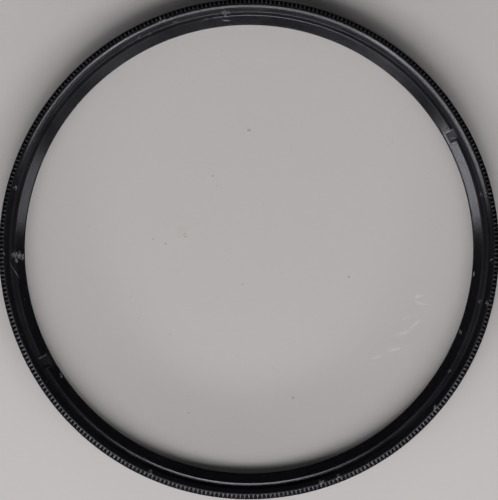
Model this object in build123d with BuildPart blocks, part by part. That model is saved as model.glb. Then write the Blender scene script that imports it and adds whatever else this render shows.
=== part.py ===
"""Screw-in lens filter: a knurled frame ring with filter threads, a clear glass disc and its retaining ring.

Millimetres. Z is the optical axis, the front of the filter is up, and z = 0 is the rear end of the frame's tail.
The M77 x 0.75 threads are plain walls here: the tail at the thread's crest, the front bore at the thread's crest.
"""

import math
import os

from build123d import *

# Filter thread, on the tail and in the front
filter_thread_d = 77.0
filter_thread_pitch = 0.75
crest_height = 0.5413 * filter_thread_pitch

# Rim of the frame
rim_wall = 1.25
front_bevel = 0.83
front_bevel_drop = 0.5
front_flat = 0.12
rear_edge_chamfer = 0.3

# Knurl: straight grooves that run out on the front bevel and stop at a plain collar
knurl_teeth = 360
knurl_depth = 0.74
knurl_root = 0.28
collar_height = 0.6
collar_step = 0.06

# Tail with the male thread
tail_length = 2.2
tail_chamfer = 0.53
tail_relief_width = 0.5
tail_relief_depth = 0.55

# Inside of the frame, from the front
entry_chamfer_height = 0.45
front_thread_length = 1.9
front_relief_width = 0.25
front_relief_depth = 0.05
shoulder_drop = 0.16
ring_bore_step = 0.414
ring_proud = 0.1
pocket_step = 0.58
ring_bore_below_glass = 0.25
lip_width = 1.45
lip_height = 1.0
lip_bevel = 0.4

# Glass disc
glass_clearance = 0.1
glass_thickness = 2.0
glass_edge = 0.2

# Retaining ring
ring_clearance = 0.03
ring_height = 1.5
ring_width = 1.85
ring_outer_slope = 0.45
ring_outer_drop = 0.08
ring_ridge = 0.08
ring_inner_wall = 0.3
slot_width = 1.73
slot_depth = 0.9
slot_angle = 29.0

# Worked out from the sizes above
thread_r = filter_thread_d / 2
thread_bore_r = thread_r - crest_height
tail_relief_r = thread_r - tail_relief_depth
rim_r = thread_r + rim_wall
knurl_r = rim_r - collar_step
front_flat_outer_r = knurl_r - front_bevel
front_flat_inner_r = front_flat_outer_r - front_flat
front_relief_r = thread_r + front_relief_depth
ring_bore_r = thread_bore_r - ring_bore_step
pocket_r = ring_bore_r - pocket_step
clear_r = pocket_r - lip_width
glass_r = pocket_r - glass_clearance
ring_r = ring_bore_r - ring_clearance
ring_inner_r = ring_r - ring_width
ridge_outer_r = ring_r - ring_outer_slope
ridge_inner_r = ridge_outer_r - ring_ridge
glass_top = lip_height + glass_thickness
ring_bore_start = glass_top - ring_bore_below_glass
ring_top = glass_top + ring_height
shoulder_height = ring_top - ring_proud
front_relief_top = shoulder_height + front_relief_width
entry_foot = front_relief_top + front_thread_length
front_z = entry_foot + entry_chamfer_height
knurl_start = tail_length + collar_height
knurl_root_r = knurl_r - knurl_depth

os.makedirs("parts", exist_ok=True)

# Toothed rim: sharp teeth round a disc, with the front bevel cut across them
tooth_step = 2 * math.pi / knurl_teeth
half_root_angle = math.asin(knurl_root / 2 / knurl_root_r)
tooth_outline = []
for tooth in range(knurl_teeth):
    for angle, radius in (
        (tooth * tooth_step, knurl_r),
        ((tooth + 0.5) * tooth_step - half_root_angle, knurl_root_r),
        ((tooth + 0.5) * tooth_step + half_root_angle, knurl_root_r),
    ):
        tooth_outline.append((radius * math.cos(angle), radius * math.sin(angle)))
knurl_height = front_z - knurl_start
bevel_angle = math.degrees(math.atan2(front_bevel, front_bevel_drop))
bevel_foot_r = front_flat_outer_r + knurl_height * front_bevel / front_bevel_drop

with BuildPart() as toothed_rim:
    with BuildSketch(Plane.XY.offset(knurl_start)):
        with BuildLine():
            Polyline(*tooth_outline, close=True)
        make_face()
    extrude(amount=knurl_height)
    with BuildSketch(Plane.XY.offset(knurl_start)):
        RegularPolygon(bevel_foot_r, knurl_teeth)
    extrude(amount=knurl_height, taper=bevel_angle, mode=Mode.INTERSECT)

# Frame ring: tail, collar and toothed rim in one piece, with the inside turned out
tail_section = [
    (0, 0),
    (thread_r - tail_chamfer, 0),
    (thread_r, tail_chamfer),
    (thread_r, tail_length - tail_relief_width),
    (tail_relief_r, tail_length - tail_relief_width),
    (tail_relief_r, tail_length),
    (rim_r - rear_edge_chamfer, tail_length),
    (rim_r, tail_length + rear_edge_chamfer),
    (rim_r, knurl_start),
    (0, knurl_start),
]
inside_section = [
    (0, 0),
    (clear_r + lip_bevel, 0),
    (clear_r, lip_bevel),
    (clear_r, lip_height),
    (pocket_r, lip_height),
    (pocket_r, ring_bore_start),
    (ring_bore_r, ring_bore_start),
    (ring_bore_r, shoulder_height),
    (front_relief_r, shoulder_height - shoulder_drop),
    (front_relief_r, front_relief_top),
    (thread_bore_r, front_relief_top),
    (thread_bore_r, entry_foot),
    (front_flat_inner_r, front_z),
    (0, front_z),
]

with BuildPart() as filter_ring:
    with BuildSketch(Plane.XZ):
        with BuildLine():
            Polyline(*tail_section, close=True)
        make_face()
    revolve(axis=Axis.Z)
    add(toothed_rim.part)
    with BuildSketch(Plane.XZ):
        with BuildLine():
            Polyline(*inside_section, close=True)
        make_face()
    revolve(axis=Axis.Z, mode=Mode.SUBTRACT)
filter_ring.part.label = "filter_ring"
export_step(filter_ring.part, "parts/filter_ring.step")

# Glass disc: lies on the frame's lip
with BuildPart() as glass_disc:
    with Locations((0, 0, lip_height)):
        Cylinder(glass_r, glass_thickness, align=(Align.CENTER, Align.CENTER, Align.MIN))
    chamfer(glass_disc.edges(), glass_edge)
glass_disc.part.label = "glass_disc"
export_step(glass_disc.part, "parts/glass_disc.step")

# Retaining ring: holds the glass down, with two slots for a spanner
ring_section = [
    (ring_inner_r, glass_top),
    (ring_r, glass_top),
    (ring_r, ring_top - ring_outer_drop),
    (ridge_outer_r, ring_top),
    (ridge_inner_r, ring_top),
    (ring_inner_r, glass_top + ring_inner_wall),
]
slot_floor = ring_top - slot_depth

with BuildPart() as retaining_ring:
    with BuildSketch(Plane.XZ):
        with BuildLine():
            Polyline(*ring_section, close=True)
        make_face()
    revolve(axis=Axis.Z)
    with Locations(Location((0, 0, slot_floor), (0, 0, slot_angle))):
        Box(
            2 * rim_r,
            slot_width,
            2 * slot_depth,
            align=(Align.CENTER, Align.CENTER, Align.MIN),
            mode=Mode.SUBTRACT,
        )
retaining_ring.part.label = "retaining_ring"
export_step(retaining_ring.part, "parts/retaining_ring.step")
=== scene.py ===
"""Screw-in lens filter: a knurled frame with real filter threads, clear glass and a retaining ring."""

import math

import bmesh
import bpy
from mathutils import Matrix, Vector


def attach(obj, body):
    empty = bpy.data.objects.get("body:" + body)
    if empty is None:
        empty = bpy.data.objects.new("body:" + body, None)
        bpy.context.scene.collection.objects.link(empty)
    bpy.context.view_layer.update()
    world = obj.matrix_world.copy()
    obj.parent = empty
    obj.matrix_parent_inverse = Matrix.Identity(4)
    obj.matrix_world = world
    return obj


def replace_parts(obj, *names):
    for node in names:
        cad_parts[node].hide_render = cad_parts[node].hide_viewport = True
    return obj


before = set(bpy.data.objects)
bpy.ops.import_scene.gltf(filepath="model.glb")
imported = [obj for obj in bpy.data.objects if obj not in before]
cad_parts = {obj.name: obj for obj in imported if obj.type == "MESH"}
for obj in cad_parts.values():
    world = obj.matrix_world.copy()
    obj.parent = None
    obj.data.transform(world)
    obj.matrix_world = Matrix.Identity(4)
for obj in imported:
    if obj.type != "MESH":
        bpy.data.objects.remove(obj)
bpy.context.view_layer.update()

# Sizes are in millimetres and the meshes in metres; a full turn has this many columns of faces
MM = 0.001
COLUMNS = 720

# Filter thread, on the tail and in the front; a turn is the share of a pitch by which a thread is raised
PITCH = 0.75
THREAD_R = 38.5
TAIL_THREAD_DEPTH = 0.46
FRONT_THREAD_DEPTH = 0.406
FLANK = math.tan(math.radians(30))
TAIL_THREAD_TURN = 0.4
FRONT_THREAD_TURN = 0.34
SPARE_TURNS = 2

# Rim and knurl
RIM_R = 39.75
FRONT_Z = 7.0
TEETH = 360
KNURL_R = 39.69
KNURL_DEPTH = 0.74
KNURL_ROOT_R = KNURL_R - KNURL_DEPTH
KNURL_ROOT = 0.28
KNURL_START = 2.8
TOOTH_EASE = 0.03
FRONT_BEVEL = 0.83
FRONT_BEVEL_DROP = 0.5
FRONT_FLAT = 0.12
FRONT_FLAT_OUTER = KNURL_R - FRONT_BEVEL
FRONT_FLAT_INNER = FRONT_FLAT_OUTER - FRONT_FLAT
REAR_EDGE = 0.3
REAR_EASE = 0.05

# Tail
TAIL_LENGTH = 2.2
TAIL_END_R = 37.97
TAIL_END_SLOPE = 1
TAIL_RELIEF_R = 37.95
TAIL_RELIEF_START = 1.7

# Inside of the frame
CLEAR_R = 35.65
LIP_BEVEL = 0.4
LIP_HEIGHT = 1.0
POCKET_R = 37.1
RING_BORE_R = 37.68
RING_BORE_START = 2.75
SHOULDER = 4.4
SHOULDER_DROP = 0.16
INSIDE_EASE = 0.04
FRONT_RELIEF_R = 38.55
FRONT_RELIEF_TOP = 4.65
FRONT_BORE_R = THREAD_R - FRONT_THREAD_DEPTH
ENTRY_HEIGHT = 0.45
ENTRY_FOOT = FRONT_Z - ENTRY_HEIGHT
ENTRY_SLOPE = ENTRY_HEIGHT / (FRONT_FLAT_INNER - FRONT_BORE_R)

# Glass
GLASS_R = 37.0
GLASS_THICKNESS = 2.0
GLASS_TOP = LIP_HEIGHT + GLASS_THICKNESS
GLASS_EDGE = 0.2

# Retaining ring
RING_R = 37.65
RING_HEIGHT = 1.5
RING_TOP = GLASS_TOP + RING_HEIGHT
RING_INNER_R = 35.8
RING_OUTER_DROP = 0.08
RING_INNER_WALL = 0.3
RING_EASE = 0.04
RIDGE_INNER_R = 37.12
RIDGE_OUTER_R = 37.2
SLOT_WIDTH = 1.73
SLOT_DEPTH = 0.9
SLOT_FLOOR = RING_TOP - SLOT_DEPTH
SLOT_ANGLE = math.radians(29)

# Meshing, in metres: points this near are one point, or lie on a cut
WELD = 1e-6
JOIN = 2e-6
SAME_PLACE = 1e-7
ON_CUT = 2e-8
SLOT_CUT = 1e-8
THREAD_CUT = 1e-9

# Corners flatter than the first angle are shaded smooth; ridges of the knurl above the second are eased
SMOOTH_BELOW = math.radians(8)
RIDGE_ABOVE = math.radians(20)

# Photograph: half its height in pixels, the rim's radius, and the rim's centre above the picture's
FRAME_HALF = 250.0
RIM_PIXELS = 250.2
RIM_ABOVE_CENTRE = 0.77

# Camera: a long lens, which looks straight down all round the rim, and its sensor, in millimetres
LENS = 1000.0
SENSOR = 36.0


def everything(mesh):
    return mesh.verts[:] + mesh.edges[:] + mesh.faces[:]


def turned(profile, closed=False):
    """A shape turned on the optical axis from points of radius and height."""
    shape = bmesh.new()
    points = [shape.verts.new((radius * MM, 0, height * MM)) for radius, height in profile]
    ends = points[1:] + points[:1] if closed else points[1:]
    lines = [shape.edges.new(pair) for pair in zip(points, ends)]
    bmesh.ops.spin(
        shape, geom=points + lines, axis=(0, 0, 1), angle=math.tau, steps=COLUMNS, use_merge=True
    )
    bmesh.ops.recalc_face_normals(shape, faces=shape.faces)
    return shape


def ease_circles(shape, offset, corners):
    """Rounds the turned edges at the given points of radius and height."""

    def lies_on(v, radius, height):
        from_axis = math.hypot(v.co.x, v.co.y)
        return abs(from_axis - radius * MM) < SAME_PLACE and abs(v.co.z - height * MM) < SAME_PLACE

    chosen = [
        edge
        for edge in shape.edges
        if any(all(lies_on(v, *corner) for v in edge.verts) for corner in corners)
    ]
    bmesh.ops.bevel(
        shape, geom=chosen, offset=offset * MM, affect="EDGES", segments=2, profile=0.5, material=-1
    )


def thread_wall(profile, low, high, turn):
    """A right-hand thread: one turn of the profile, repeated pitch by pitch past both heights."""
    shape = bmesh.new()
    base = low - PITCH * (SPARE_TURNS - turn)
    points = [shape.verts.new((radius * MM, 0, (base + rise) * MM)) for radius, rise in profile]
    lines = [shape.edges.new(pair) for pair in zip(points, points[1:])]
    bmesh.ops.spin(
        shape,
        geom=points + lines,
        axis=(0, 0, 1),
        angle=math.tau,
        steps=COLUMNS,
        dvec=(0, 0, PITCH * MM / COLUMNS),
    )
    one_turn = everything(shape)
    for step in range(1, math.ceil((high - low) / PITCH) + 2 * SPARE_TURNS):
        copy = bmesh.ops.duplicate(shape, geom=one_turn)["geom"]
        moved = [part for part in copy if isinstance(part, bmesh.types.BMVert)]
        bmesh.ops.translate(shape, verts=moved, vec=(0, 0, step * PITCH * MM))
    bmesh.ops.remove_doubles(shape, verts=shape.verts, dist=WELD)
    return shape


def cut_flat(shape, height, keep_below):
    bmesh.ops.bisect_plane(
        shape,
        geom=everything(shape),
        dist=THREAD_CUT,
        plane_co=(0, 0, height * MM),
        plane_no=(0, 0, 1),
        clear_outer=keep_below,
        clear_inner=not keep_below,
    )


def fill_to_circle(shape, radius, height):
    """Closes the plane of a cut between the thread and a circle."""
    cut = [
        edge
        for edge in shape.edges
        if edge.is_boundary and all(abs(v.co.z - height * MM) < ON_CUT for v in edge.verts)
    ]
    circle = bmesh.ops.create_circle(
        shape, segments=COLUMNS, radius=radius * MM, matrix=Matrix.Translation((0, 0, height * MM))
    )["verts"]
    ring = list({edge for v in circle for edge in v.link_edges})
    bmesh.ops.triangle_fill(shape, use_beauty=True, use_dissolve=False, edges=cut + ring, normal=(0, 0, 1))


def lean(shape, radius, slope):
    """Lifts each point by its distance outside a radius, which makes a cone flat for a cut."""
    for v in shape.verts:
        v.co.z += slope * (math.hypot(v.co.x, v.co.y) - radius * MM)


def chamfer_thread(shape, foot_r, foot, slope, circle_r, keep_below):
    """Cuts a thread's end along a cone that rises outwards and closes the cone as far as a circle."""
    lean(shape, foot_r, -slope)
    cut_flat(shape, foot, keep_below)
    fill_to_circle(shape, circle_r, foot)
    lean(shape, foot_r, slope)


def tail_thread():
    crest, flank = PITCH / 8, TAIL_THREAD_DEPTH * FLANK
    root_r = THREAD_R - TAIL_THREAD_DEPTH
    profile = [
        (THREAD_R, 0),
        (THREAD_R, crest),
        (root_r, crest + flank),
        (root_r, PITCH - flank),
        (THREAD_R, PITCH),
    ]
    shape = thread_wall(profile, 0, TAIL_RELIEF_START, TAIL_THREAD_TURN)
    cut_flat(shape, TAIL_RELIEF_START, True)
    fill_to_circle(shape, TAIL_RELIEF_R, TAIL_RELIEF_START)
    chamfer_thread(shape, TAIL_END_R, 0, TAIL_END_SLOPE, TAIL_END_R, False)
    return shape


def front_thread():
    root, flank = PITCH / 8, FRONT_THREAD_DEPTH * FLANK
    profile = [
        (THREAD_R, 0),
        (THREAD_R, root),
        (FRONT_BORE_R, root + flank),
        (FRONT_BORE_R, PITCH - flank),
        (THREAD_R, PITCH),
    ]
    shape = thread_wall(profile, FRONT_RELIEF_TOP, FRONT_Z, FRONT_THREAD_TURN)
    cut_flat(shape, FRONT_RELIEF_TOP, False)
    fill_to_circle(shape, FRONT_RELIEF_R, FRONT_RELIEF_TOP)
    chamfer_thread(shape, FRONT_BORE_R, ENTRY_FOOT, ENTRY_SLOPE, FRONT_FLAT_INNER, True)
    return shape


def knurl():
    """One tooth with its flat on the front bevel and its foot on the collar, turned round the rim."""
    shape = bmesh.new()
    pitch = math.tau / TEETH
    half_root = math.asin(KNURL_ROOT / 2 / KNURL_ROOT_R)

    def row(radius, height, angles):
        return [
            shape.verts.new((radius * MM * math.cos(a), radius * MM * math.sin(a), height * MM))
            for a in angles
        ]

    root_top = FRONT_Z - (KNURL_ROOT_R - FRONT_FLAT_OUTER) * FRONT_BEVEL_DROP / FRONT_BEVEL
    root_angles = (-pitch / 2, half_root - pitch / 2, pitch / 2 - half_root, pitch / 2)
    edge = row(FRONT_FLAT_OUTER, FRONT_Z, (-pitch / 2, 0, pitch / 2))
    upper = row(KNURL_ROOT_R, root_top, root_angles)
    crest_up = row(KNURL_R, FRONT_Z - FRONT_BEVEL_DROP, (0,))[0]
    crest_down = row(KNURL_R, KNURL_START, (0,))[0]
    lower = row(KNURL_ROOT_R, KNURL_START, root_angles)
    collar = row(RIM_R, KNURL_START, (-pitch / 2, 0, pitch / 2))
    for corners in (
        (edge[0], upper[0], upper[1], edge[1]),
        (edge[1], upper[1], crest_up),
        (edge[1], crest_up, upper[2]),
        (edge[1], upper[2], upper[3], edge[2]),
        (upper[0], lower[0], lower[1], upper[1]),
        (upper[1], lower[1], crest_down, crest_up),
        (crest_up, crest_down, lower[2], upper[2]),
        (upper[2], lower[2], lower[3], upper[3]),
        (lower[0], collar[0], collar[1], lower[1]),
        (lower[1], collar[1], crest_down),
        (crest_down, collar[1], lower[2]),
        (lower[2], collar[1], collar[2], lower[3]),
    ):
        shape.faces.new(corners)
    bmesh.ops.spin(
        shape,
        geom=everything(shape),
        axis=(0, 0, 1),
        angle=math.tau * (TEETH - 1) / TEETH,
        steps=TEETH - 1,
        use_duplicate=True,
    )
    bmesh.ops.remove_doubles(shape, verts=shape.verts, dist=WELD)
    bmesh.ops.recalc_face_normals(shape, faces=shape.faces)
    outermost = max(shape.faces, key=lambda face: face.calc_center_median().x)
    if outermost.normal.dot(Vector((1, 0, 1))) < 0:
        bmesh.ops.reverse_faces(shape, faces=shape.faces)
    ridges = [
        edge
        for edge in shape.edges
        if not edge.is_boundary and edge.is_convex and edge.calc_face_angle() > RIDGE_ABOVE
    ]
    bmesh.ops.bevel(
        shape, geom=ridges, offset=TOOTH_EASE * MM, affect="EDGES", segments=1, profile=0.5, material=-1
    )
    return shape


def joined(shapes):
    """One shape from several that meet on the same circles."""
    whole = bmesh.new()
    for shape in shapes:
        carrier = bpy.data.meshes.new("carrier")
        shape.to_mesh(carrier)
        whole.from_mesh(carrier)
        bpy.data.meshes.remove(carrier)
        shape.free()
    bmesh.ops.remove_doubles(whole, verts=whole.verts, dist=JOIN)
    bmesh.ops.recalc_face_normals(whole, faces=whole.faces)
    return whole


def finished(name, shape, material):
    """The piece as an object that stands for its solid."""
    for face in shape.faces:
        face.smooth = True
    for edge in shape.edges:
        edge.smooth = len(edge.link_faces) == 2 and edge.calc_face_angle() < SMOOTH_BELOW
    mesh = bpy.data.meshes.new(name)
    shape.to_mesh(mesh)
    shape.free()
    mesh.materials.append(material)
    piece = bpy.data.objects.new(name, mesh)
    bpy.context.scene.collection.objects.link(piece)
    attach(piece, "root")
    return piece


def frame_ring():
    rear = turned(
        [
            (RIM_R, KNURL_START),
            (RIM_R, TAIL_LENGTH + REAR_EDGE),
            (RIM_R - REAR_EDGE, TAIL_LENGTH),
            (TAIL_RELIEF_R, TAIL_LENGTH),
            (TAIL_RELIEF_R, TAIL_RELIEF_START),
        ]
    )
    ease_circles(rear, REAR_EASE, [(RIM_R, TAIL_LENGTH + REAR_EDGE), (RIM_R - REAR_EDGE, TAIL_LENGTH)])
    inside = turned(
        [
            (TAIL_END_R, 0),
            (CLEAR_R + LIP_BEVEL, 0),
            (CLEAR_R, LIP_BEVEL),
            (CLEAR_R, LIP_HEIGHT),
            (POCKET_R, LIP_HEIGHT),
            (POCKET_R, RING_BORE_START),
            (RING_BORE_R, RING_BORE_START),
            (RING_BORE_R, SHOULDER),
            (FRONT_RELIEF_R, SHOULDER - SHOULDER_DROP),
            (FRONT_RELIEF_R, FRONT_RELIEF_TOP),
        ]
    )
    ease_circles(
        inside,
        INSIDE_EASE,
        [(CLEAR_R + LIP_BEVEL, 0), (CLEAR_R, LIP_BEVEL), (CLEAR_R, LIP_HEIGHT), (RING_BORE_R, SHOULDER)],
    )
    front_edge = turned([(FRONT_FLAT_INNER, FRONT_Z), (FRONT_FLAT_OUTER, FRONT_Z)])
    return joined([rear, tail_thread(), inside, front_thread(), front_edge, knurl()])


def cut_slots(shape):
    """Cuts the two spanner slots across a ring and closes their walls and floors."""
    along = Vector((math.cos(SLOT_ANGLE), math.sin(SLOT_ANGLE), 0))
    across = Vector((-along.y, along.x, 0))
    half = SLOT_WIDTH / 2 * MM
    floor = SLOT_FLOOR * MM
    for place, normal in ((across * half, across), (-across * half, across), ((0, 0, floor), (0, 0, 1))):
        bmesh.ops.bisect_plane(
            shape, geom=everything(shape), dist=SLOT_CUT, plane_co=place, plane_no=normal
        )
    removed = [
        face
        for face in shape.faces
        if abs(face.calc_center_median().dot(across)) < half and face.calc_center_median().z > floor
    ]
    bmesh.ops.delete(shape, geom=removed, context="FACES")

    def on_floor(v):
        return abs(v.co.z - floor) < SAME_PLACE

    for end in (1, -1):
        near = [
            edge for edge in shape.edges if edge.is_boundary and edge.verts[0].co.dot(along) * end > 0
        ]
        floor_lines = []
        for wall in (half, -half):
            side = [
                edge for edge in near if all(abs(v.co.dot(across) - wall) < SAME_PLACE for v in edge.verts)
            ]
            feet = [v for v in {v for edge in side for v in edge.verts} if on_floor(v)]
            feet.sort(key=lambda v: v.co.length)
            line = shape.edges.new((feet[0], feet[-1]))
            floor_lines.append(line)
            bmesh.ops.edgeloop_fill(shape, edges=side + [line])
        rims = [edge for edge in near if all(on_floor(v) for v in edge.verts)]
        bmesh.ops.edgeloop_fill(shape, edges=rims + floor_lines)


def slotted_ring():
    shape = turned(
        [
            (RING_INNER_R, GLASS_TOP),
            (RING_R, GLASS_TOP),
            (RING_R, RING_TOP - RING_OUTER_DROP),
            (RIDGE_OUTER_R, RING_TOP),
            (RIDGE_INNER_R, RING_TOP),
            (RING_INNER_R, GLASS_TOP + RING_INNER_WALL),
        ],
        closed=True,
    )
    ease_circles(
        shape,
        RING_EASE,
        [(RIDGE_OUTER_R, RING_TOP), (RIDGE_INNER_R, RING_TOP), (RING_INNER_R, GLASS_TOP + RING_INNER_WALL)],
    )
    cut_slots(shape)
    bmesh.ops.recalc_face_normals(shape, faces=shape.faces)
    return shape


def glass_pane():
    shape = bmesh.new()
    bmesh.ops.create_cone(
        shape,
        cap_ends=True,
        segments=COLUMNS,
        radius1=GLASS_R * MM,
        radius2=GLASS_R * MM,
        depth=GLASS_THICKNESS * MM,
        matrix=Matrix.Translation((0, 0, (LIP_HEIGHT + GLASS_THICKNESS / 2) * MM)),
    )
    rims = [edge for edge in shape.edges if any(len(face.verts) > 4 for face in edge.link_faces)]
    bmesh.ops.bevel(
        shape, geom=rims, offset=GLASS_EDGE * MM, affect="EDGES", segments=1, profile=0.5, material=-1
    )
    return shape


class Wire:
    """A socket that takes part in sums: each sum adds its Math node."""

    def __init__(self, tree, socket):
        self.tree, self.socket = tree, socket

    def math(self, operation, *values):
        node = self.tree.nodes.new("ShaderNodeMath")
        node.operation = operation
        for slot, value in zip(node.inputs, values):
            plug(self.tree, slot, value)
        return Wire(self.tree, node.outputs[0])

    def __add__(self, other):
        return self.math("ADD", self, other)

    def __sub__(self, other):
        return self.math("SUBTRACT", self, other)

    def __rsub__(self, other):
        return self.math("SUBTRACT", other, self)

    def __mul__(self, other):
        return self.math("MULTIPLY", self, other)

    def __pow__(self, other):
        return self.math("POWER", self, other)

    def __abs__(self):
        return self.math("ABSOLUTE", self)

    def sine(self):
        return self.math("SINE", self)

    def over(self, other):
        return self.math("MAXIMUM", self, other)

    __radd__, __rmul__ = __add__, __mul__


def plug(tree, socket, value):
    if isinstance(value, Wire):
        tree.links.new(value.socket, socket)
    else:
        socket.default_value = value


class Finish:
    """A material and the nodes that it is made of."""

    def __init__(self, name):
        self.material = bpy.data.materials.new(name)
        self.material.use_nodes = True
        self.tree = self.material.node_tree
        self.tree.nodes.clear()

    def add(self, kind, settings=None, inputs=None, out=0):
        node = self.tree.nodes.new("ShaderNode" + kind)
        for name, value in (settings or {}).items():
            setattr(node, name, value)
        for name, value in (inputs or {}).items():
            plug(self.tree, node.inputs[name], value)
        return Wire(self.tree, node.outputs[out])

    def place(self):
        """Reads Object coordinates, with their parts and the distance from the axis in millimetres."""
        self.where = self.add("TexCoord", out="Object")
        parts = self.add("SeparateXYZ", inputs={0: self.where}).socket.node.outputs
        self.x, self.y, self.z = (Wire(self.tree, part) * (1 / MM) for part in parts)
        self.radius = (self.x * self.x + self.y * self.y) ** 0.5

    def noise(self, scale, detail=2.0):
        return self.add("TexNoise", inputs={"Vector": self.where, "Scale": scale, "Detail": detail})

    def step(self, value, low, high):
        """0 below low, 1 above high, eased between."""
        return self.add(
            "MapRange",
            {"interpolation_type": "SMOOTHSTEP"},
            {"Value": value, "From Min": low, "From Max": high},
        )

    def blend(self, mask, low, high):
        return self.add(
            "Mix", {"data_type": "RGBA"}, {"Factor": mask, 6: low, 7: high}, out=2
        )

    def any_of(self, masks):
        """The strongest of several masks."""
        strongest = masks[0]
        for mask in masks[1:]:
            strongest = strongest.over(mask)
        return strongest

    def spot(self, place, radius, ragged):
        """A ragged blot round a point, given in millimetres."""
        centre = tuple(part * MM for part in place)
        gap = self.add("VectorMath", {"operation": "DISTANCE"}, {0: self.where, 1: centre}, out="Value")
        return 1 - self.step(gap * (1 / MM) + ragged * radius, radius * 0.2, radius)

    def contour(self, scale):
        """Thin winding lines."""
        return 1 - self.step(abs(self.noise(scale, 1) - 0.5), 0.02, 0.1)

    def line(self, start, end, width):
        """A thin straight mark between two points of x and y, in millimetres."""
        length = math.dist(start, end)
        run_x, run_y = (end[0] - start[0]) / length, (end[1] - start[1]) / length
        along = self.x * run_x + self.y * run_y - (start[0] * run_x + start[1] * run_y)
        aside = self.x * run_y - self.y * run_x - (start[0] * run_y - start[1] * run_x)
        near = 1 - self.step(abs(aside), width * 0.3, width)
        ends = self.step(along, 0, length * 0.2) * (1 - self.step(along, length * 0.6, length))
        return near * ends

    def close(self, shader):
        output = self.tree.nodes.new("ShaderNodeOutputMaterial")
        plug(self.tree, output.inputs["Surface"], shader)
        return self.material


# Colours of the black metal and what lies on it
DYE = (0.0018, 0.0018, 0.0025, 1)
PALE_DYE = (0.004, 0.0038, 0.0052, 1)
# The grey of worn places, which on the retaining ring also paints highlights on the slots' upper edges and
# light on one slot's floor
WORN_AND_PAINTED_LIGHT_GREY = (0.11, 0.11, 0.115, 1)
DUST = (0.14, 0.135, 0.13, 1)
SCUFFED = (0.17, 0.17, 0.17, 1)
METAL_TINT = (0.92, 0.90, 1.0, 1)

# Turning lines on the black metal in radians per millimetre, and the depth of its grain in millimetres
TURNING_WAVE = 70
FINISH_DEPTH = 0.004

# Scuffs on the black metal: place and size in millimetres
METAL_SCUFFS = [
    ((-3.8, 37.7, 4.4), 0.8),
    ((-14.1, 36.6, 6.8), 0.8),
    ((38.3, 8.8, 6.7), 0.7),
    ((36.8, 8.6, 4.4), 0.35),
    ((32.5, -22.4, 6.6), 0.6),
    ((29.5, -25.2, 7.0), 0.45),
    ((-15.5, -35.2, 6.8), 0.5),
    ((11.4, -37.0, 7.0), 0.6),
    ((14.2, -36.2, 7.0), 0.5),
    ((37.8, -8.5, 6.9), 0.4),
    ((36.7, -8.3, 4.4), 0.35),
    ((35.7, -3.9, 3.4), 0.45),
    ((33.5, -13.1, 3.5), 0.45),
    ((31.9, -19.2, 4.5), 0.3),
    ((-21.4, -33.0, 6.7), 0.5),
    ((-30.6, -24.8, 6.7), 0.5),
    ((-29.7, -20.0, 3.4), 0.4),
    ((-35.2, -17.5, 6.7), 0.5),
    ((-37.0, 9.8, 6.6), 0.45),
    ((-15.9, 34.2, 4.4), 0.35),
]

# Tuft of lint on the retaining ring: place and size of its parts in millimetres
LINT = [
    ((-37.2, -0.8, 4.5), 0.7),
    ((-36.5, -1.0, 3.95), 0.8),
    ((-35.9, -1.2, 3.4), 0.7),
    ((-36.9, -1.8, 4.35), 0.5),
]

# A loose fibre and thin scratches on the black metal: ends and width, lowest and highest, in millimetres
METAL_STREAKS = [
    (((-39.4, 0.2), (-38.6, -1.1), 0.085), (6.6, 7.0)),
    (((-38.1, -2.0), (-36.3, -4.9), 0.085), (3.9, 4.5)),
    (((38.7, -1.5), (38.0, -1.9), 0.14), (6.4, 7.0)),
    (((-4.3, 36.35), (-2.9, 36.28), 0.12), (3.8, 4.1)),
    (((-12.2, 36.0), (-11.2, 36.2), 0.11), (4.25, 4.4)),
    (((-17.7, 33.3), (-17.1, 34.3), 0.1), (4.25, 4.4)),
    (((31.9, 17.6), (33.1, 17.65), 0.2), (3.5, 3.7)),
]

# Colours of the glass and of the marks on it
CLEAR = (0.996, 0.997, 0.996, 1)
SPECK = (0.30, 0.25, 0.20, 1)
STAIN = (0.46, 0.36, 0.26, 1)
CRUMB = (0.20, 0.16, 0.12, 1)
SCRATCH = (0.9, 0.9, 0.9, 1)
GROUND_EDGE = (0.26, 0.29, 0.28, 1)

# Marks on the front of the glass: place and size of the crumbs and the stain, ends and width of the scratches
GLASS_CRUMBS = [
    ((0.0, 18.9, 3.0), 0.32),
    ((-10.3, 2.4, 3.0), 0.24),
    ((-10.1, 2.0, 3.0), 0.2),
    ((7.0, -23.6, 3.0), 0.3),
    ((-5.7, 11.6, 3.0), 0.22),
    ((15.9, -4.4, 3.0), 0.2),
    ((-15.2, 1.6, 3.0), 0.2),
    ((-13.2, 0.9, 3.0), 0.24),
]
GLASS_STAIN = ((-10.6, 2.5, 3.0), 1.5)
GLASS_SCRATCHES = [
    ((24.0, -11.3), (25.8, -10.5), 0.42),
    ((23.0, -13.7), (26.0, -12.9), 0.34),
    ((25.6, -12.6), (27.6, -11.0), 0.36),
    ((21.8, -16.2), (24.6, -15.6), 0.34),
    ((19.2, -17.3), (21.2, -17.0), 0.38),
    ((26.2, -7.6), (28.4, -7.2), 0.34),
    ((26.4, -8.4), (28.8, -8.9), 0.3),
]


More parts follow.
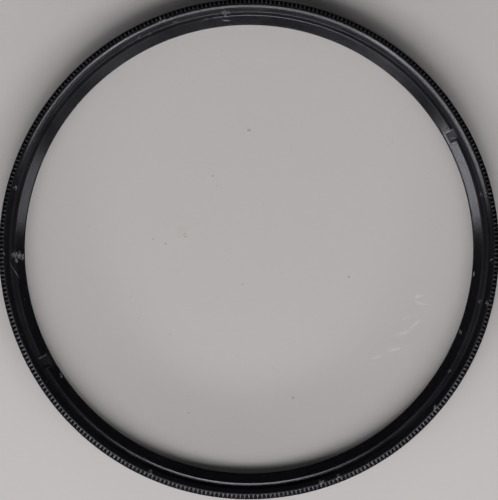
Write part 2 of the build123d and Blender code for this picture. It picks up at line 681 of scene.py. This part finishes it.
def frame_wear(finish):
    """Where handling has thinned the dye: the flats and crests of the knurl, and the shoulder inside."""
    step, radius, z = finish.step, finish.radius, finish.z
    under_bevel = FRONT_Z - z - (radius - FRONT_FLAT_OUTER) * (FRONT_BEVEL_DROP / FRONT_BEVEL)
    flats = (1 - step(under_bevel, 0.015, 0.05)) * step(radius, KNURL_ROOT_R - 0.02, KNURL_ROOT_R + 0.08)
    speckle = step(finish.noise(1700), 0.46, 0.64) * 0.26 + 0.16
    crests = step(radius, KNURL_R - 0.1, KNURL_R - 0.02) * step(z, KNURL_START + 0.1, KNURL_START + 0.3)
    shoulder = step(z, SHOULDER - 0.13, SHOULDER - 0.08) * (1 - step(z, SHOULDER + 0.02, SHOULDER + 0.06))
    inside = 1 - step(radius, FRONT_RELIEF_R + 0.05, FRONT_RELIEF_R + 0.2)
    return (flats * speckle).over(crests * 0.6).over(shoulder * inside * 0.2)


def retainer_wear_and_painted_light(finish):
    """Where the spanner has thinned the dye, faintly on the slots' edges and floors and on the top; with a
    painted highlight on each slot's upper edge and painted light on the floor of the slot at positive x.
    """
    step, x, z = finish.step, finish.x, finish.z
    across = finish.y * math.cos(SLOT_ANGLE) - x * math.sin(SLOT_ANGLE)
    from_wall = abs(across) - SLOT_WIDTH / 2
    edges = (1 - step(abs(from_wall), 0.12, 0.32)) * step(z, SLOT_FLOOR, SLOT_FLOOR + 0.1)
    # Both walls' edges are worn faintly; the upper wall's edge of each slot gets a painted highlight
    rubbed_edges_and_painted_highlight = edges * (step(across, -0.2, 0.2) * 0.7 + 0.15)
    floors = (1 - step(from_wall, -0.04, 0.0)) * (1 - step(z, SLOT_FLOOR, SLOT_FLOOR + 0.04))
    # Both slot floors are worn faintly; the floor of the slot at positive x is painted lighter, as painted
    # light
    scraped_floors_and_painted_light = floors * (step(x, -1, 1) * 0.4 + 0.05)
    top = RING_TOP - RING_OUTER_DROP
    return rubbed_edges_and_painted_highlight.over(scraped_floors_and_painted_light).over(step(z, top - 0.04, top) * 0.08)


def lint(finish, ragged):
    """A tuft of pale strands that lies on the retaining ring, above the glass."""
    tuft = finish.any_of([finish.spot(*part, ragged * 0.4) for part in LINT])
    strands = finish.contour(1300).over(finish.contour(2100))
    return tuft * (strands * 0.6 + 0.15) * finish.step(finish.z, GLASS_TOP + 0.2, GLASS_TOP + 0.3)


def streaks(finish):
    """The fibre and the scratches, each only between its own heights."""
    broken = finish.step(finish.noise(1500), 0.36, 0.56) * 0.36 + 0.24
    marks = []
    for mark, (low, high) in METAL_STREAKS:
        within = finish.step(finish.z, low - 0.1, low) * (1 - finish.step(finish.z, high, high + 0.1))
        marks.append(finish.line(*mark) * within * broken)
    return finish.any_of(marks)


def black_anodised(name, roughness, flecks, wear_and_painted_light):
    """Dyed black oxide over aluminium: satin, faintly blue, with turning lines, dust, worn places, and any
    painted highlights that the given mask carries.
    """
    finish = Finish(name)
    finish.place()
    cloud = finish.noise(180, 4)
    grain = finish.noise(7000, 3)
    dust = finish.step(finish.noise(2600), 0.735 - flecks, 0.80 - flecks)
    ragged = (finish.noise(2600, 3) - 0.47) * 4.0
    scuff = finish.any_of([finish.spot(*spot, ragged) for spot in METAL_SCUFFS])
    streak = lint(finish, ragged).over(streaks(finish))
    # Worn places, and on the retaining ring painted highlights and painted light on the slots as well
    worn_and_painted_light = wear_and_painted_light(finish) * (0.55 + finish.step(cloud, 0.3, 0.7) * 0.45)
    off_collar = finish.step(abs(finish.z - KNURL_START), 0.01, 0.04)
    lines = ((finish.radius + finish.z) * TURNING_WAVE).sine() * off_collar
    colour = finish.blend(cloud, DYE, PALE_DYE)
    colour = finish.blend(worn_and_painted_light, colour, WORN_AND_PAINTED_LIGHT_GREY)
    colour = finish.blend(dust * 0.4, colour, DUST)
    colour = finish.blend((scuff * 0.6).over(streak), colour, SCUFFED)
    shine = (cloud - 0.5) * 0.1 + grain * 0.06 + roughness
    relief = grain + lines * 0.35 + scuff * 2
    bump = finish.add("Bump", inputs={"Strength": 0.35, "Distance": FINISH_DEPTH * MM, "Height": relief})
    body = finish.add(
        "BsdfPrincipled",
        inputs={
            "Base Color": colour,
            "Roughness": shine + dust * 0.3 + scuff * 0.2 + streak * 0.4 + worn_and_painted_light * 0.15,
            "Specular Tint": METAL_TINT,
            "Normal": bump,
        },
    )
    return finish.close(body)


def clear_glass():
    """Coated clear glass with a ground edge, specks and crumbs, a stain and a patch of fine scratches."""
    finish = Finish("clear_coated_glass")
    finish.place()
    specks = finish.step(finish.noise(1500), 0.76, 0.80)
    ragged = (finish.noise(1800, 4) - 0.5) * 2
    stain = finish.spot(*GLASS_STAIN, (finish.noise(700, 3) - 0.5) * 1.2)
    crumbs = finish.any_of([finish.spot(*crumb, ragged) for crumb in GLASS_CRUMBS])
    broken = finish.step(finish.noise(900, 3), 0.35, 0.65) * 0.6 + 0.4
    on_front = finish.step(finish.z, GLASS_TOP - 0.1, GLASS_TOP - 0.01)
    scratch = finish.any_of([finish.line(*mark) for mark in GLASS_SCRATCHES]) * broken * on_front
    ground = finish.step(finish.radius, GLASS_R - GLASS_EDGE - 0.02, GLASS_R - GLASS_EDGE + 0.02)
    dirt = (specks * 0.22).over(stain * 0.08).over(crumbs * 0.6).over(scratch * 0.12).over(ground * 0.9)
    colour = finish.blend(finish.step(stain, 0.0, 0.1), SPECK, STAIN)
    colour = finish.blend(crumbs, colour, CRUMB)
    colour = finish.blend(finish.step(scratch, 0.0, 0.05), colour, SCRATCH)
    colour = finish.blend(ground, colour, GROUND_EDGE)
    film = finish.add("BsdfPrincipled", inputs={"Base Color": colour, "Roughness": 0.8})
    gloss = finish.add("BsdfPrincipled", inputs={"Base Color": (0, 0, 0, 1), "Roughness": 0.03})
    through = finish.add("BsdfTransparent", inputs={"Color": CLEAR})
    slant = finish.add("LayerWeight", inputs={"Blend": 0.5}, out="Facing")
    pane = finish.add("MixShader", inputs={0: slant ** 5 * 0.9 + 0.012, 1: through, 2: gloss})
    whole = finish.add("MixShader", inputs={0: dirt, 1: pane, 2: film})
    return finish.close(whole)


# Studio, in metres and watts: the floor's half width, and each soft box's place, width, height and power
FLOOR_HALF = 3.0
FLOOR_COLOUR = (0.435, 0.415, 0.41, 1)
ROOM_COLOUR = (0.035, 0.035, 0.037, 1)
SOFT_BOXES = {
    "steep_front_lamp": ((-0.03, -0.29, 0.80), 0.19, 0.14, 1.05),
    "long_front_lamp": ((0.0, -0.39, 0.78), 1.7, 0.16, 5.3),
    "middle_front_lamp": ((0.0, -0.55, 0.76), 1.2, 0.2, 3.2),
    "low_front_lamp": ((0.0, -0.65, 0.25), 1.1, 0.08, 2.2),
    "low_left_lamp": ((-0.54, -0.42, 0.26), 0.6, 0.09, 1.3),
    "low_right_lamp": ((0.50, -0.47, 0.26), 0.45, 0.09, 0.8),
    "grazing_left_lamp": ((-0.66, -0.23, 0.07), 0.3, 0.06, 0.62),
    "grazing_right_lamp": ((0.68, -0.18, 0.07), 0.22, 0.06, 0.19),
    "rear_lamp": ((0.0, 0.72, 0.80), 1.5, 0.3, 0.6),
}


def pale_floor():
    finish = Finish("pale_floor")
    body = finish.add("BsdfPrincipled", inputs={"Base Color": FLOOR_COLOUR, "Roughness": 0.9})
    return finish.close(body)


def soft_box(name, place, width, height, power):
    lamp = bpy.data.lights.new(name, "AREA")
    lamp.shape, lamp.size, lamp.size_y, lamp.energy = "RECTANGLE", width, height, power
    holder = bpy.data.objects.new(name, lamp)
    holder.location = place
    holder.rotation_euler = Vector(place).to_track_quat("Z", "Y").to_euler()
    bpy.context.scene.collection.objects.link(holder)


def studio():
    shape = bmesh.new()
    bmesh.ops.create_grid(shape, x_segments=1, y_segments=1, size=FLOOR_HALF)
    mesh = bpy.data.meshes.new("floor")
    shape.to_mesh(mesh)
    shape.free()
    mesh.materials.append(pale_floor())
    floor = bpy.data.objects.new("floor", mesh)
    bpy.context.scene.collection.objects.link(floor)
    for name, settings in SOFT_BOXES.items():
        soft_box(name, *settings)
    world = bpy.data.worlds.new("room")
    world.use_nodes = True
    world.node_tree.nodes["Background"].inputs["Color"].default_value = ROOM_COLOUR
    bpy.context.scene.world = world


def camera_above():
    """Straight down on the front, with the rim as near the picture's edges as in the photograph."""
    seen = 2 * FRAME_HALF * RIM_R / RIM_PIXELS * MM
    eye = bpy.data.cameras.new("camera")
    eye.lens, eye.sensor_width, eye.clip_start, eye.clip_end = LENS, SENSOR, 0.05, 20.0
    holder = bpy.data.objects.new("camera", eye)
    drop = RIM_ABOVE_CENTRE * seen / (2 * FRAME_HALF)
    holder.location = (0, -drop, seen * LENS / SENSOR + KNURL_START * MM)
    bpy.context.scene.collection.objects.link(holder)
    bpy.context.scene.camera = holder


ring_metal = black_anodised("black_anodised_frame", 0.17, 0.0, frame_wear)
inner_metal = black_anodised("black_anodised_retainer", 0.16, 0.01, retainer_wear_and_painted_light)
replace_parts(finished("knurled_frame", frame_ring(), ring_metal), "filter_ring")
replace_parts(finished("retainer", slotted_ring(), inner_metal), "retaining_ring")
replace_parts(finished("glass", glass_pane(), clear_glass()), "glass_disc")
studio()
camera_above()
bpy.context.scene.view_settings.view_transform = "Standard"
